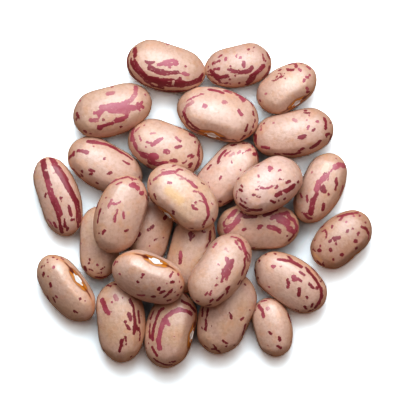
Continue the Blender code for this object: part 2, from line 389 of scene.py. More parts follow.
# Each mark is its darkness, its width and its points on the sheet
# darkness: 0 faint pink, 1 maroon, 2 a pale scar, 3 a tan stain, below 0 a bare spot
marks = {
    "topLeft": {
        "nw": [
            (0.9, 34, 1055, 385, 1060, 440), (0.9, 22, 1020, 400, 1010, 440),
            (0.9, 60, 1040, 480, 1075, 545, 1130, 600), (0.95, 80, 1160, 630, 1250, 655, 1340, 655),
            (0.95, 66, 1340, 650, 1430, 665), (0.95, 44, 1430, 670, 1500, 655, 1568, 630),
            (0.9, 22, 1020, 560, 1060, 615, 1110, 650), (0.95, 34, 1170, 690, 1290, 718, 1400, 722),
            (0.9, 18, 1000, 500, 1010, 535), (0.9, 40, 1175, 535, 1230, 562, 1310, 580),
            (0.9, 28, 1310, 578, 1390, 572), (0.8, 26, 1148, 487, 1180, 500, 1205, 492),
            (0.8, 24, 1180, 500, 1172, 530), (0.55, 26, 1240, 512, 1290, 505),
            (0.5, 48, 1300, 500, 1350, 490, 1378, 498), (0.6, 18, 1330, 520, 1330, 535),
            (0.6, 18, 1306, 340, 1314, 350), (0.6, 18, 1455, 520), (0.4, 26, 1438, 576, 1475, 590),
            (0.9, 30, 1410, 622), (-1, 20, 1040, 425), (-1, 16, 1215, 668), (-1, 14, 1355, 665, 1360, 640),
            (-1, 16, 1090, 625, 1130, 650),
        ],
        "whole": [
            (0.8, 22, 1300, 500, 1278, 600, 1285, 680),
            (0.9, 20, 1305, 720, 1350, 790, 1420, 835, 1500, 870),
            (0.95, 24, 1500, 880, 1600, 908, 1720, 915, 1820, 912),
            (0.95, 20, 1820, 912, 1900, 898, 1960, 870), (0.95, 44, 1480, 800, 1530, 860, 1620, 880),
            (0.7, 20, 1350, 480, 1340, 560), (-1, 14, 1525, 838, 1570, 856), (-1, 12, 1650, 872, 1720, 892),
            (-1, 9, 1320, 540, 1330, 600),
        ],
        "ne": [(0.95, 30, 0, 615, 20, 588)],
    },
    "upperLeft": {
        "nw": [
            (0.4, 26, 745, 890, 800, 882), (0.4, 44, 800, 845, 870, 850), (0.42, 84, 880, 850, 960, 848),
            (0.42, 44, 960, 855, 1050, 848), (0.4, 60, 940, 865, 1000, 870), (0.4, 26, 780, 910, 790, 890),
            (0.35, 32, 960, 820, 1030, 785, 1065, 740, 1068, 680), (0.3, 34, 850, 735, 888, 730),
            (0.75, 26, 780, 1000, 830, 985, 885, 968), (0.75, 36, 915, 950, 960, 938),
            (0.7, 26, 960, 935, 995, 915), (0.75, 44, 785, 1005), (0.8, 24, 815, 943),
            (0.4, 28, 715, 945, 762, 945), (0.85, 24, 605, 890, 618, 922), (0.8, 14, 600, 938),
            (0.55, 18, 1115, 800, 1090, 830, 1122, 842), (0.55, 20, 1078, 815, 1090, 855),
            (0.5, 12, 1095, 870), (0.6, 16, 880, 683), (0.5, 14, 630, 792), (0.85, 20, 950, 996),
            (0.8, 22, 660, 1028, 675, 1036), (0.7, 14, 712, 1050), (0.4, 14, 1140, 745),
        ],
    },
    "innerLeft": {
        "nw": [
            (0.4, 32, 1045, 1015, 1034, 1060, 1050, 1100), (0.4, 24, 1060, 1130, 1085, 1180, 1115, 1210),
            (0.35, 14, 1095, 1070, 1105, 1105), (0.4, 14, 1060, 1035, 1095, 1000),
            (0.55, 56, 1120, 1215, 1180, 1235, 1215, 1230), (0.6, 44, 1175, 1270, 1235, 1290, 1300, 1285),
            (0.55, 30, 1160, 1300, 1190, 1330), (0.5, 26, 1195, 1135, 1235, 1112, 1270, 1088),
            (0.5, 34, 1212, 1125), (0.45, 12, 1150, 1115, 1175, 1120), (0.5, 12, 1285, 1130),
            (0.25, 14, 1185, 1050, 1220, 1048), (0.35, 20, 1380, 1080, 1398, 1098), (0.6, 20, 1412, 1108),
            (0.7, 22, 1382, 1157, 1418, 1150), (0.6, 34, 1295, 1190, 1318, 1194),
            (0.85, 22, 1342, 1260, 1382, 1262), (0.8, 18, 1475, 1228, 1498, 1216),
            (0.8, 12, 1495, 1242, 1515, 1225), (0.85, 14, 1432, 1282, 1465, 1260),
            (0.85, 20, 1485, 1312, 1502, 1288), (0.75, 22, 1490, 1055, 1522, 1070), (0.7, 14, 1410, 1003),
            (0.7, 16, 1530, 1115), (0.75, 18, 1562, 1130, 1552, 1220), (0.9, 30, 1530, 1330, 1556, 1290),
            (0.5, 12, 1130, 985), (0.4, 10, 1145, 1155), (-1, 12, 1090, 1175),
        ],
        "whole": [
            (0.45, 40, 1320, 1330, 1315, 1400), (0.5, 24, 1340, 1440, 1370, 1500, 1420, 1550),
            (0.55, 30, 1540, 1430, 1590, 1400), (0.9, 16, 1990, 1490, 1995, 1560, 1985, 1620),
            (0.9, 22, 1990, 1600, 1960, 1680), (0.85, 22, 1890, 1650, 1910, 1640),
            (0.8, 40, 1500, 1630, 1580, 1640),
        ],
    },
    "leftShoulder": {
        "nw": [
            (0.8, 32, 692, 1110, 760, 1115), (0.8, 24, 760, 1115, 830, 1130, 900, 1162, 960, 1200),
            (0.8, 12, 960, 1200, 1038, 1250), (0.8, 14, 608, 1188, 640, 1178),
            (0.8, 28, 645, 1182, 688, 1196), (0.8, 18, 545, 1240, 568, 1212, 582, 1192),
            (0.8, 20, 575, 1218), (0.6, 12, 738, 1150), (0.8, 18, 818, 1250, 822, 1242),
            (0.8, 16, 970, 1262, 1010, 1285), (0.95, 22, 702, 1334, 738, 1342),
            (0.95, 16, 708, 1368, 724, 1360), (0.95, 18, 850, 1362, 875, 1356), (1, 24, 763, 1437),
            (0.95, 18, 572, 1330, 584, 1332), (0.95, 14, 645, 1348), (1, 34, 575, 1365, 610, 1388),
            (1, 24, 645, 1380), (0.4, 12, 1095, 1388),
        ],
        "whole": [
            (0.85, 26, 835, 1515, 880, 1520), (0.85, 12, 775, 1512, 800, 1495, 830, 1510),
            (0.95, 30, 765, 1725, 800, 1765), (0.95, 20, 970, 1830, 980, 1835),
            (0.9, 16, 815, 1715, 830, 1705), (0.9, 18, 815, 1745, 825, 1755),
            (0.9, 16, 725, 1685, 745, 1695),
        ],
    },
    "farLeft": {
        "nw": [
            (0.85, 46, 338, 1260, 350, 1330, 370, 1400), (0.6, 48, 375, 1420, 400, 1500, 420, 1568),
            (-1, 12, 365, 1335), (-1, 16, 402, 1460), (0.85, 30, 400, 1240, 430, 1290),
            (0.85, 62, 455, 1320, 490, 1370, 515, 1410), (0.85, 50, 520, 1430, 560, 1500, 592, 1568),
            (-1, 10, 480, 1330), (0.6, 14, 425, 1357), (1, 16, 355, 1545, 360, 1520),
            (0.9, 14, 478, 1552, 492, 1548), (0.4, 14, 275, 1350), (0.4, 14, 275, 1500),
        ],
        "sw": [
            (0.75, 56, 425, 0, 450, 60, 468, 105), (0.95, 26, 460, 130, 475, 190, 485, 252),
            (0.9, 46, 605, 10, 622, 80, 630, 160), (0.85, 22, 545, 50, 560, 118),
            (0.9, 18, 562, 156, 580, 152), (1, 20, 500, 150, 514, 208), (1, 20, 526, 238, 534, 222),
            (0.8, 16, 425, 180, 445, 215), (0.4, 12, 380, 155, 412, 200), (0.9, 14, 488, 5),
            (-1, 8, 490, 130, 492, 190), (-1, 10, 628, 60), (0.4, 16, 300, 20),
            (0.9, 22, 612, 170, 615, 210),
        ],
        "whole": [
            (0.72, 56, 530, 1600, 570, 1680, 620, 1760), (0.78, 56, 640, 1780, 690, 1870, 730, 1950),
            (0.85, 54, 750, 1980, 780, 2080, 785, 2200), (0.7, 40, 420, 1610, 445, 1660),
        ],
    },
    "topMiddle": {
        "ne": [
            (0.8, 16, 145, 450, 168, 436), (0.8, 16, 100, 500, 150, 480), (0.6, 28, 200, 465),
            (0.4, 24, 315, 455), (0.4, 12, 287, 430, 283, 450), (0.8, 12, 420, 372), (0.8, 18, 380, 390),
            (0.7, 10, 415, 403), (0.75, 24, 340, 485, 343, 528), (0.85, 20, 65, 525),
            (0.75, 20, 112, 548, 145, 540), (0.9, 28, 85, 555, 112, 590, 160, 612, 212, 598),
            (0.9, 20, 110, 600, 160, 648), (0.9, 16, 150, 652), (0.8, 34, 240, 558), (-1, 10, 240, 558),
            (0.8, 16, 240, 523), (0.9, 30, 278, 566, 340, 570, 390, 560, 402, 535),
            (0.85, 32, 428, 582, 465, 555, 495, 520), (0.9, 56, 410, 605, 388, 642),
            (0.9, 20, 380, 660, 362, 662), (0.8, 12, 492, 425, 497, 475), (0.8, 16, 526, 418, 545, 460),
            (0.7, 8, 515, 478), (0.9, 22, 546, 530, 530, 580, 495, 608), (0.9, 14, 195, 656, 218, 652),
            (0.85, 18, 232, 625), (0.9, 12, 238, 660), (0.9, 18, 310, 653), (0.85, 12, 275, 597),
            (0.9, 12, 120, 655), (0.6, 14, 370, 690), (0.85, 14, 62, 565), (0.6, 10, 368, 422),
        ],
        "whole": [
            (0.9, 14, 2080, 745, 2130, 762), (0.95, 18, 2130, 820, 2160, 832),
            (0.95, 20, 2235, 785, 2285, 772), (0.85, 22, 2285, 700, 2330, 712),
            (0.95, 14, 2690, 665, 2680, 715, 2630, 780), (0.85, 10, 2640, 580, 2650, 610),
        ],
    },
    "topRight": {
        "ne": [
            (0.8, 16, 618, 552, 632, 548), (0.85, 20, 692, 552, 725, 550), (0.7, 24, 748, 505, 752, 525),
            (0.7, 14, 700, 505, 725, 498), (0.45, 20, 775, 545, 788, 560), (0.6, 12, 790, 500),
            (0.5, 18, 842, 522, 858, 534), (0.85, 14, 655, 580), (0.8, 14, 600, 603),
            (0.85, 16, 622, 608, 648, 600), (0.4, 14, 665, 618), (0.8, 12, 562, 636, 602, 629),
            (0.8, 12, 637, 585), (0.5, 16, 860, 592), (0.5, 16, 832, 608), (0.6, 16, 810, 642, 814, 630),
            (0.35, 16, 515, 735), (0.7, 18, 470, 790), (0.4, 24, 840, 705), (1, 20, 690, 848, 712, 836),
        ],
        "whole": [
            (0.6, 12, 2880, 690), (0.55, 10, 2890, 637, 2925, 630), (0.55, 10, 3005, 635),
            (0.5, 16, 3065, 665, 3095, 695), (0.45, 16, 3055, 770, 3085, 780),
            (0.8, 12, 2785, 740, 2800, 738), (0.8, 12, 2770, 770), (0.5, 20, 3060, 880),
            (0.85, 24, 3070, 922, 3085, 925), (0.8, 14, 2860, 690, 2900, 700),
        ],
    },
    "upperMiddle": {
        "nw": [
            (0.26, 24, 1510, 805, 1462, 835, 1442, 880), (0.4, 14, 1465, 795, 1520, 762, 1568, 748),
            (0.85, 28, 1440, 885, 1455, 930, 1470, 958), (0.85, 24, 1465, 975, 1505, 1012, 1568, 1035),
            (0.85, 14, 1430, 915), (-1, 10, 1470, 850),
        ],
        "ne": [
            (0.75, 24, 72, 703, 130, 715, 178, 732), (0.6, 24, 200, 715, 270, 735, 320, 755),
            (0.45, 30, 320, 770, 335, 790), (0.6, 20, 350, 765, 395, 800, 412, 828),
            (0.4, 14, 0, 742, 22, 740), (0.35, 42, 38, 836), (-1, 12, 38, 832), (0.25, 36, 185, 806),
            (0.6, 26, 305, 868, 322, 900), (0.75, 16, 415, 880, 420, 902), (0.9, 20, 372, 982, 356, 1030),
            (0.85, 14, 430, 940, 415, 1000), (1, 24, 345, 1068, 325, 1090), (0.9, 10, 262, 1098, 290, 1112),
            (0.85, 10, 400, 1030, 380, 1062), (0.3, 8, 128, 745),
        ],
        "whole": [
            (0.6, 16, 2270, 905, 2330, 925, 2380, 945, 2410, 980), (0.5, 12, 2400, 950, 2450, 1000),
            (-1, 8, 2290, 918, 2350, 945), (0.75, 12, 2440, 950, 2490, 990, 2525, 1050),
            (0.7, 18, 2200, 915, 2110, 900), (0.95, 22, 1850, 1180, 1890, 1220, 1930, 1260),
            (0.95, 26, 1930, 1260, 1990, 1300, 2060, 1330), (0.5, 34, 2040, 1060),
            (0.3, 30, 2240, 1022, 2260, 1030),
        ],
    },
    "upperRight": {
        "ne": [
            (0.95, 12, 812, 886, 856, 888), (0.95, 16, 818, 872, 828, 866), (0.4, 12, 855, 908),
            (0.3, 26, 732, 940, 748, 952), (0.3, 12, 835, 945), (0.65, 22, 918, 957),
            (0.8, 20, 972, 925, 985, 960, 982, 1010), (0.8, 16, 1020, 962),
            (0.85, 20, 880, 1026, 892, 1012), (0.5, 18, 838, 1010, 848, 992),
            (0.9, 22, 770, 1080, 820, 1062), (0.9, 32, 800, 1078),
            (0.9, 24, 868, 1162, 905, 1140, 940, 1108), (0.95, 20, 988, 1058, 1012, 1050),
            (0.95, 12, 992, 1075), (0.9, 28, 1026, 1072, 1012, 1110), (0.8, 20, 1000, 1130, 975, 1160),
            (0.9, 18, 770, 1186, 806, 1164), (0.85, 16, 655, 1208, 720, 1212, 790, 1200),
            (0.7, 20, 482, 1150, 535, 1164), (0.85, 18, 430, 1050, 432, 1112), (0.8, 14, 500, 968),
            (0.5, 12, 475, 1018), (0.3, 8, 575, 965), (0.8, 14, 590, 1208, 620, 1210),
        ],
        "whole": [
            (0.9, 16, 2562, 1350, 2560, 1440), (0.95, 22, 3310, 1350, 3312, 1395, 3270, 1450, 3225, 1485),
            (0.6, 10, 2610, 1260, 2615, 1300),
        ],
    },
    "innerRight": {
        "right": [
            (0.8, 34, 604, 470, 650, 385, 712, 320), (0.8, 46, 600, 505),
            (0.6, 26, 700, 402, 750, 362, 788, 332), (0.25, 40, 785, 408, 840, 370),
            (0.3, 26, 900, 370, 935, 338), (0.55, 24, 985, 370, 1040, 330, 1105, 312),
            (0.75, 42, 1148, 382, 1185, 368), (0.8, 30, 1190, 330, 1215, 400, 1226, 480),
            (0.75, 26, 1130, 262), (1, 26, 985, 216, 1055, 208), (0.95, 24, 815, 245, 880, 225),
            (0.85, 34, 432, 612, 480, 556), (0.75, 30, 622, 780, 640, 732), (0.65, 28, 940, 628),
            (0.3, 20, 812, 515), (0.85, 28, 438, 830), (0.5, 12, 455, 880, 470, 912),
            (1, 32, 612, 1118, 635, 1128), (1, 34, 700, 1158, 770, 1112, 840, 1090), (1, 30, 618, 1210),
            (0.4, 16, 1012, 665), (0.9, 14, 1100, 250),
        ],
        "whole": [
            (0.75, 20, 2555, 1500, 2575, 1530, 2545, 1550), (0.75, 14, 2520, 1450, 2528, 1470),
            (0.7, 14, 2570, 1500, 2588, 1580), (0.9, 16, 2310, 1455, 2360, 1445),
            (0.9, 16, 2430, 1432, 2470, 1432), (0.9, 26, 2240, 2040, 2290, 2015, 2340, 2000),
            (0.65, 16, 2315, 1610, 2318, 1630),
        ],
    },
    "upperLayerRight": {
        "right": [
            (0.45, 56, 1400, 590, 1425, 602), (0.45, 30, 1395, 640), (0.5, 28, 1225, 712, 1225, 738),
            (0.25, 18, 1405, 803), (0.2, 18, 1220, 815, 1292, 826),
            (0.6, 24, 1228, 884, 1300, 915, 1345, 918), (0.65, 40, 1370, 905, 1440, 882),
            (0.85, 36, 1505, 890), (0.6, 22, 1180, 932, 1215, 932), (0.9, 28, 1132, 1020, 1185, 1018),
            (0.9, 26, 1200, 1044, 1240, 1052), (0.95, 30, 1412, 1108, 1470, 1132),
            (0.9, 30, 952, 870, 972, 888), (0.9, 26, 930, 938, 970, 958), (0.75, 24, 892, 776, 920, 764),
            (0.7, 22, 1180, 572, 1218, 564), (0.6, 14, 888, 960, 880, 1020),
            (0.8, 14, 872, 1020, 880, 1070), (0.9, 22, 942, 1075, 965, 1110, 1015, 1138),
            (0.3, 14, 1035, 1080), (0.95, 26, 935, 1165, 1000, 1205, 1060, 1225),
            (1, 38, 1090, 1250, 1170, 1262, 1240, 1258), (0.9, 22, 1240, 1250, 1278, 1246),
            (0.8, 20, 1040, 1262, 1095, 1280), (0.45, 24, 1535, 640, 1568, 632), (0.6, 18, 1555, 775),
            (0.95, 24, 1540, 1110),
        ],
        "ne": [
            (0.8, 10, 618, 1408, 626, 1410), (0.85, 10, 650, 1412), (0.9, 20, 674, 1430, 700, 1420),
            (0.95, 38, 598, 1530, 650, 1508, 680, 1494), (0.95, 36, 690, 1488, 730, 1458),
            (0.95, 14, 750, 1442, 766, 1428), (0.95, 20, 656, 1560),
        ],
        "se": [(0.95, 16, 558, 10, 580, 18), (0.9, 12, 610, 5)],
        "whole": [
            (0.8, 14, 2830, 1795), (0.75, 12, 2790, 1785), (0.75, 22, 2760, 1860, 2755, 1882),
            (1, 18, 2780, 2005), (0.7, 18, 2365, 1792, 2380, 1785), (1, 34, 2520, 2100, 2600, 2098),
            (0.95, 20, 2395, 2040, 2440, 2070, 2480, 2100), (0.9, 16, 2460, 2110, 2500, 2115),
            (-1, 10, 2948, 1825, 2965, 1852), (-1, 10, 2820, 1925, 2850, 1960),
        ],
    },
    "rightShoulder": {
        "ne": [
            (0.4, 42, 1130, 1300, 1090, 1292, 1055, 1315), (0.42, 44, 985, 1378, 935, 1430),
            (0.5, 50, 930, 1430, 912, 1480), (0.75, 30, 912, 1520, 895, 1560),
            (0.9, 26, 1062, 1420, 1070, 1440), (0.85, 14, 1066, 1398, 1060, 1482),
            (0.9, 36, 955, 1478, 972, 1498), (0.3, 22, 875, 1350), (0.5, 14, 1003, 1412),
            (0.8, 16, 1005, 1525), (0.6, 18, 1118, 1462, 1095, 1530), (0.3, 12, 1063, 1242),
        ],
        "se": [
            (0.8, 40, 882, 0, 875, 60, 866, 105), (0.75, 24, 815, 108, 850, 142),
            (0.85, 24, 968, 35, 960, 74), (0.7, 14, 835, 5), (0.8, 18, 870, 145), (0.7, 12, 798, 98),
            (-1, 8, 905, 40, 900, 90),
        ],
        "whole": [
            (2, 62, 3262, 1660, 3240, 1700), (3, 60, 3200, 1555, 3250, 1545),
            (0.42, 14, 3315, 1700, 3270, 1750), (0.7, 14, 3000, 1935, 3020, 1975),
            (0.75, 16, 3065, 1960, 3070, 2015), (0.85, 18, 3230, 1850, 3250, 1890),
            (0.75, 12, 3050, 2140, 3130, 2120),
        ],
    },
    "beanApart": {
        "se": [
            (0.75, 22, 1082, 130, 1130, 118, 1180, 106, 1236, 100), (0.75, 16, 1095, 156, 1112, 134),
            (0.8, 24, 1250, 122), (0.5, 12, 1205, 128), (0.35, 14, 1145, 170), (0.85, 12, 1295, 178),
            (0.95, 22, 1268, 210, 1300, 225, 1318, 262), (0.6, 14, 1322, 280, 1318, 305),
            (0.9, 18, 1026, 218, 1034, 204), (0.9, 20, 945, 216, 966, 204),
            (0.9, 16, 978, 235, 990, 260, 985, 296), (0.85, 14, 960, 244, 975, 240),
            (0.9, 16, 1145, 250, 1156, 236), (0.9, 14, 1195, 225), (0.9, 18, 1234, 270, 1242, 254),
            (1, 30, 1216, 322), (1, 28, 1222, 378), (1, 30, 1108, 426), (1, 24, 1018, 384, 1024, 394),
            (0.95, 26, 1015, 322), (0.9, 24, 1042, 300, 1090, 295), (0.95, 24, 1052, 312),
            (0.9, 14, 1063, 345), (0.85, 14, 940, 355), (0.85, 12, 900, 315),
            (0.95, 14, 885, 385, 900, 405), (0.95, 24, 930, 397, 942, 397), (1, 14, 1042, 465),
            (0.95, 18, 922, 478, 942, 502), (0.95, 12, 958, 478, 966, 512), (0.6, 8, 1250, 82, 1300, 102),
            (0.9, 8, 880, 440, 900, 450),
        ],
        "whole": [
            (3, 60, 3140, 2540, 3200, 2600),
        ],
    },
    "underRight": {
        "se": [
            (0.45, 44, 192, 190, 230, 140, 272, 88), (0.4, 40, 215, 235, 250, 200, 295, 160),
            (0.4, 30, 320, 110, 280, 150), (-1, 18, 205, 185, 212, 160), (-1, 12, 262, 150, 240, 175),
            (0.95, 20, 350, 130, 440, 128), (0.75, 28, 458, 218, 474, 206), (0.65, 18, 336, 236, 352, 226),
            (0.6, 34, 540, 212, 590, 226), (0.65, 28, 590, 226, 626, 246), (0.45, 60, 625, 150, 680, 180),
            (0.5, 34, 690, 120, 740, 165, 762, 220), (0.5, 40, 690, 220, 740, 250), (0.8, 16, 680, 285),
            (0.8, 16, 695, 320), (0.85, 22, 752, 250), (0.45, 30, 560, 140, 630, 112, 690, 98),
            (-1, 26, 732, 200, 736, 216), (0.4, 16, 420, 375), (0.4, 20, 190, 235, 200, 250),
        ],
        "whole": [
            (0.85, 44, 2640, 2150, 2700, 2120, 2760, 2090), (0.9, 26, 2950, 2310, 2930, 2360, 2890, 2400),
            (0.9, 26, 2410, 2120, 2440, 2150), (-1, 14, 2310, 2180, 2290, 2220),
        ],
    },
    "lowerRight": {
        "se": [
            (0.8, 22, 612, 462, 660, 468, 705, 478), (0.8, 30, 705, 478, 750, 497, 792, 522),
            (0.8, 18, 690, 440, 715, 468), (0.55, 20, 565, 520, 585, 520), (0.3, 18, 630, 520),
            (0.85, 14, 590, 425), (0.85, 12, 515, 428), (0.95, 14, 463, 482), (0.9, 18, 455, 612),
            (0.8, 12, 650, 406, 684, 412), (0.8, 18, 780, 560, 816, 588),
            (0.95, 28, 828, 532, 870, 580, 905, 625), (0.95, 26, 905, 625, 940, 680),
            (0.9, 16, 880, 538, 902, 550), (0.85, 8, 900, 560, 938, 615), (0.65, 44, 732, 605, 738, 618),
            (0.8, 20, 775, 620, 788, 632), (0.8, 18, 682, 615, 690, 650, 684, 684),
            (0.95, 20, 856, 658, 880, 684), (0.95, 24, 778, 695, 770, 745), (0.95, 16, 832, 752, 838, 768),
            (0.8, 8, 812, 790), (0.95, 14, 942, 640, 968, 622, 985, 680),
            (0.85, 30, 945, 690, 952, 750, 930, 805), (0.8, 24, 925, 810, 900, 845),
            (0.95, 16, 878, 815, 872, 835), (1, 16, 820, 828, 830, 850), (1, 12, 748, 858, 770, 868),
            (1, 18, 795, 885), (1, 14, 850, 872, 885, 858), (0.95, 24, 915, 688), (0.4, 10, 540, 680),
            (0.8, 10, 428, 550),
        ],
        "whole": [
            (0.9, 12, 2650, 2540, 2665, 2530), (0.9, 14, 2740, 2530, 2755, 2540),
            (0.8, 14, 2835, 2515, 2865, 2530), (0.8, 16, 2870, 2555, 2900, 2590),
            (0.6, 10, 2995, 2575, 3005, 2580), (0.95, 16, 2585, 2600, 2595, 2612),
            (1, 16, 2550, 2700, 2556, 2725), (-1, 10, 3020, 2640, 3045, 2690),
            (0.85, 10, 3120, 2680, 3180, 2760),
        ],
    },
    "smallOne": {
        "se": [
            (0.7, 22, 460, 826, 485, 865, 498, 918), (0.25, 30, 530, 850), (0.65, 14, 482, 794, 512, 788),
            (0.7, 10, 520, 772, 545, 774), (0.9, 12, 435, 860), (0.9, 16, 540, 1032, 556, 1046),
            (0.95, 24, 620, 1078, 624, 1094), (0.95, 16, 608, 1144, 632, 1156),
            (0.85, 18, 690, 898, 712, 955), (0.95, 14, 540, 1214, 568, 1218), (0.3, 8, 530, 1140),
            (0.8, 10, 712, 1110),
        ],
    },
    "upperLayerCentre": {
        "low": [
            (0.7, 44, 1010, 505, 1028, 560), (0.75, 46, 1072, 520, 1060, 600),
            (0.75, 90, 1020, 600, 1000, 680), (0.75, 44, 955, 640, 960, 720),
            (0.75, 24, 948, 740, 930, 792), (0.75, 26, 1000, 720, 1002, 765),
            (0.45, 26, 985, 478, 1000, 520), (0.6, 30, 1070, 215, 1130, 225, 1190, 262),
            (0.6, 54, 1195, 280, 1215, 330, 1230, 390), (0.6, 22, 1110, 270, 1155, 340, 1200, 392),
            (0.7, 32, 1225, 390, 1250, 450, 1275, 520), (0.75, 24, 1262, 420, 1298, 460, 1306, 500),
            (0.6, 20, 1250, 282), (0.85, 28, 1232, 510, 1235, 590, 1210, 650, 1195, 712),
            (0.9, 24, 1265, 670, 1265, 695), (0.95, 28, 1198, 788, 1180, 832), (0.95, 22, 1245, 832),
            (0.45, 26, 825, 345, 856, 302), (0.18, 30, 990, 370, 1010, 400), (0.35, 18, 885, 562, 896, 582),
            (0.25, 20, 960, 215), (0.75, 24, 870, 742), (0.8, 20, 856, 846, 876, 832),
            (0.75, 20, 720, 962, 750, 938), (0.75, 24, 802, 915, 780, 962),
            (0.75, 20, 608, 1046, 632, 1050), (0.95, 30, 880, 1040, 920, 1000, 952, 965),
            (0.9, 22, 1015, 895, 1000, 948), (0.85, 22, 780, 1062, 816, 1026),
            (0.9, 18, 728, 1112, 792, 1096), (0.8, 16, 1150, 268),
        ],
        "whole": [
            (0.8, 22, 2470, 2700, 2450, 2760, 2440, 2800), (0.9, 26, 2400, 2800, 2380, 2830),
            (0.85, 22, 2460, 2820, 2440, 2850), (0.8, 22, 2265, 2880, 2290, 2860),
            (0.95, 12, 2470, 2570, 2520, 2660),
        ],
    },
    "bottomRight": {
        "se": [
            (0.95, 18, 235, 880, 245, 918), (0.95, 12, 225, 888), (0.8, 14, 338, 918, 320, 938),
            (0.85, 14, 390, 862), (0.95, 20, 356, 978, 346, 1010, 334, 1052),
            (0.95, 16, 178, 1098, 212, 1122), (0.95, 12, 205, 1144), (0.95, 14, 268, 1135),
            (0.9, 12, 295, 1130), (0.95, 14, 108, 1134, 130, 1168, 156, 1196),
            (0.9, 12, 128, 1164, 94, 1168), (0.9, 14, 40, 1142, 60, 1154), (0.8, 14, 350, 660),
            (0.85, 12, 90, 990), (0.9, 12, 400, 580, 412, 600),
        ],
        "low": [
            (0.95, 32, 688, 1150, 682, 1245), (0.95, 22, 758, 1150, 742, 1250),
            (0.95, 26, 730, 1300, 735, 1370, 728, 1440), (0.95, 20, 675, 1400, 728, 1442),
            (0.9, 26, 804, 1385), (0.8, 16, 620, 1390),
        ],
    },
    "bottomMiddle": {
        "sw": [
            (0.4, 38, 1252, 1160, 1245, 1090, 1262, 1010, 1288, 935),
            (0.4, 34, 1300, 920, 1350, 875, 1410, 858), (0.7, 26, 1420, 856, 1470, 868, 1502, 892),
            (0.4, 26, 1312, 950, 1325, 975),
            (0.75, 22, 1195, 1090, 1202, 1010, 1225, 930, 1250, 872, 1280, 848),
            (0.85, 16, 1178, 970, 1170, 1030, 1176, 1072), (0.8, 16, 1195, 1152, 1214, 1190, 1232, 1218),
            (0.95, 16, 1208, 1240, 1240, 1265, 1290, 1286), (0.95, 14, 1330, 1268),
            (0.95, 16, 1352, 1264, 1370, 1262), (0.9, 10, 1290, 1288, 1375, 1292), (0.8, 12, 1145, 1160),
            (0.8, 12, 1165, 1125), (0.95, 24, 1430, 790, 1490, 820, 1532, 872), (0.3, 10, 1365, 1065),
            (0.9, 14, 1440, 728, 1470, 758), (0.8, 14, 1205, 870, 1180, 930),
        ],
    },
    "bottomLeft": {
        "sw": [
            (0.7, 42, 802, 785, 825, 835), (0.6, 38, 825, 850, 850, 880), (0.6, 14, 872, 872),
            (0.3, 32, 908, 752, 918, 775), (0.4, 12, 962, 765), (0.5, 16, 880, 798), (0.35, 28, 780, 715),
            (0.85, 16, 832, 666, 872, 674), (0.85, 14, 882, 654, 932, 662),
            (0.95, 22, 1022, 780, 1045, 830, 1055, 900), (1, 26, 1055, 900, 1062, 970, 1055, 1040),
            (0.95, 24, 1065, 980, 1086, 1012), (0.95, 12, 1090, 1000, 1100, 1040, 1095, 1098),
            (0.95, 18, 1088, 870, 1096, 960), (0.9, 12, 1106, 912), (0.9, 26, 1014, 888, 1026, 936),
            (0.95, 24, 985, 950), (0.95, 18, 1002, 982, 1020, 1010), (1, 16, 985, 1068, 985, 1084),
            (1, 26, 958, 1096, 950, 1130), (0.95, 12, 990, 1102), (0.95, 12, 990, 1126),
            (1, 20, 948, 1140, 938, 1182), (1, 16, 965, 1138), (0.95, 16, 815, 1178), (0.8, 10, 895, 1265),
            (0.8, 12, 1030, 1225),
        ],
    },
    "outerLeft": {
        "sw": [
            (0.9, 22, 340, 588, 348, 572), (0.9, 14, 350, 515), (0.9, 14, 326, 528, 332, 520),
            (0.7, 12, 375, 468), (0.8, 10, 375, 488), (0.8, 18, 420, 448), (0.35, 26, 425, 525),
            (0.5, 12, 378, 597), (0.9, 18, 397, 652, 400, 674), (0.6, 22, 445, 757),
            (0.95, 16, 422, 768, 434, 798), (0.6, 18, 375, 755, 384, 802), (0.95, 18, 635, 770),
            (0.6, 10, 670, 790), (0.95, 16, 584, 868, 606, 882), (0.7, 12, 480, 450, 500, 466),
            (0.7, 10, 450, 462), (0.4, 10, 300, 600),
        ],
    },
    "upperLayerLow": {
        "sw": [
            (0.6, 18, 912, 480, 896, 508), (0.6, 12, 924, 482), (0.5, 16, 945, 575),
            (0.75, 18, 1127, 580, 1112, 602), (0.95, 20, 1085, 635), (0.8, 16, 1356, 560, 1338, 592),
            (0.6, 20, 1400, 580), (0.95, 20, 1345, 640, 1362, 636), (0.5, 12, 1310, 650),
            (0.95, 20, 1248, 696, 1254, 682), (0.95, 20, 1262, 722, 1288, 710),
            (0.9, 18, 1350, 698, 1332, 720), (0.9, 14, 1322, 730, 1290, 754), (0.8, 14, 1375, 715),
            (0.95, 24, 1198, 754, 1212, 750), (0.9, 20, 1318, 784, 1334, 780),
            (0.45, 22, 1085, 740, 1130, 743), (0.8, 18, 1422, 678), (0.7, 22, 1395, 742),
            (0.5, 10, 1410, 640),
        ],
    },
    "upperLayerLeft": {
        "left": [
            (0.55, 44, 872, 0, 790, 60, 715, 125), (0.55, 54, 705, 140, 665, 185),
            (0.7, 40, 655, 232, 622, 300, 604, 345), (0.75, 22, 598, 365, 580, 445),
            (0.45, 18, 890, 76, 972, 38), (0.5, 60, 1120, 85, 1180, 100), (0.55, 40, 1190, 110, 1225, 150),
            (0.5, 24, 1150, 50, 1230, 60), (0.65, 34, 1268, 210, 1312, 210), (0.6, 26, 730, 286, 750, 274),
            (0.5, 24, 675, 380), (0.35, 40, 818, 312, 795, 360, 775, 425), (0.5, 34, 830, 372, 900, 376),
            (0.5, 26, 900, 372, 962, 338), (0.8, 34, 648, 460, 622, 540, 602, 662),
            (0.65, 30, 908, 468, 885, 560), (0.65, 34, 880, 570, 875, 645), (0.5, 36, 1005, 505, 1010, 588),
            (0.3, 22, 690, 525), (0.9, 28, 625, 830), (0.9, 20, 688, 838, 728, 792),
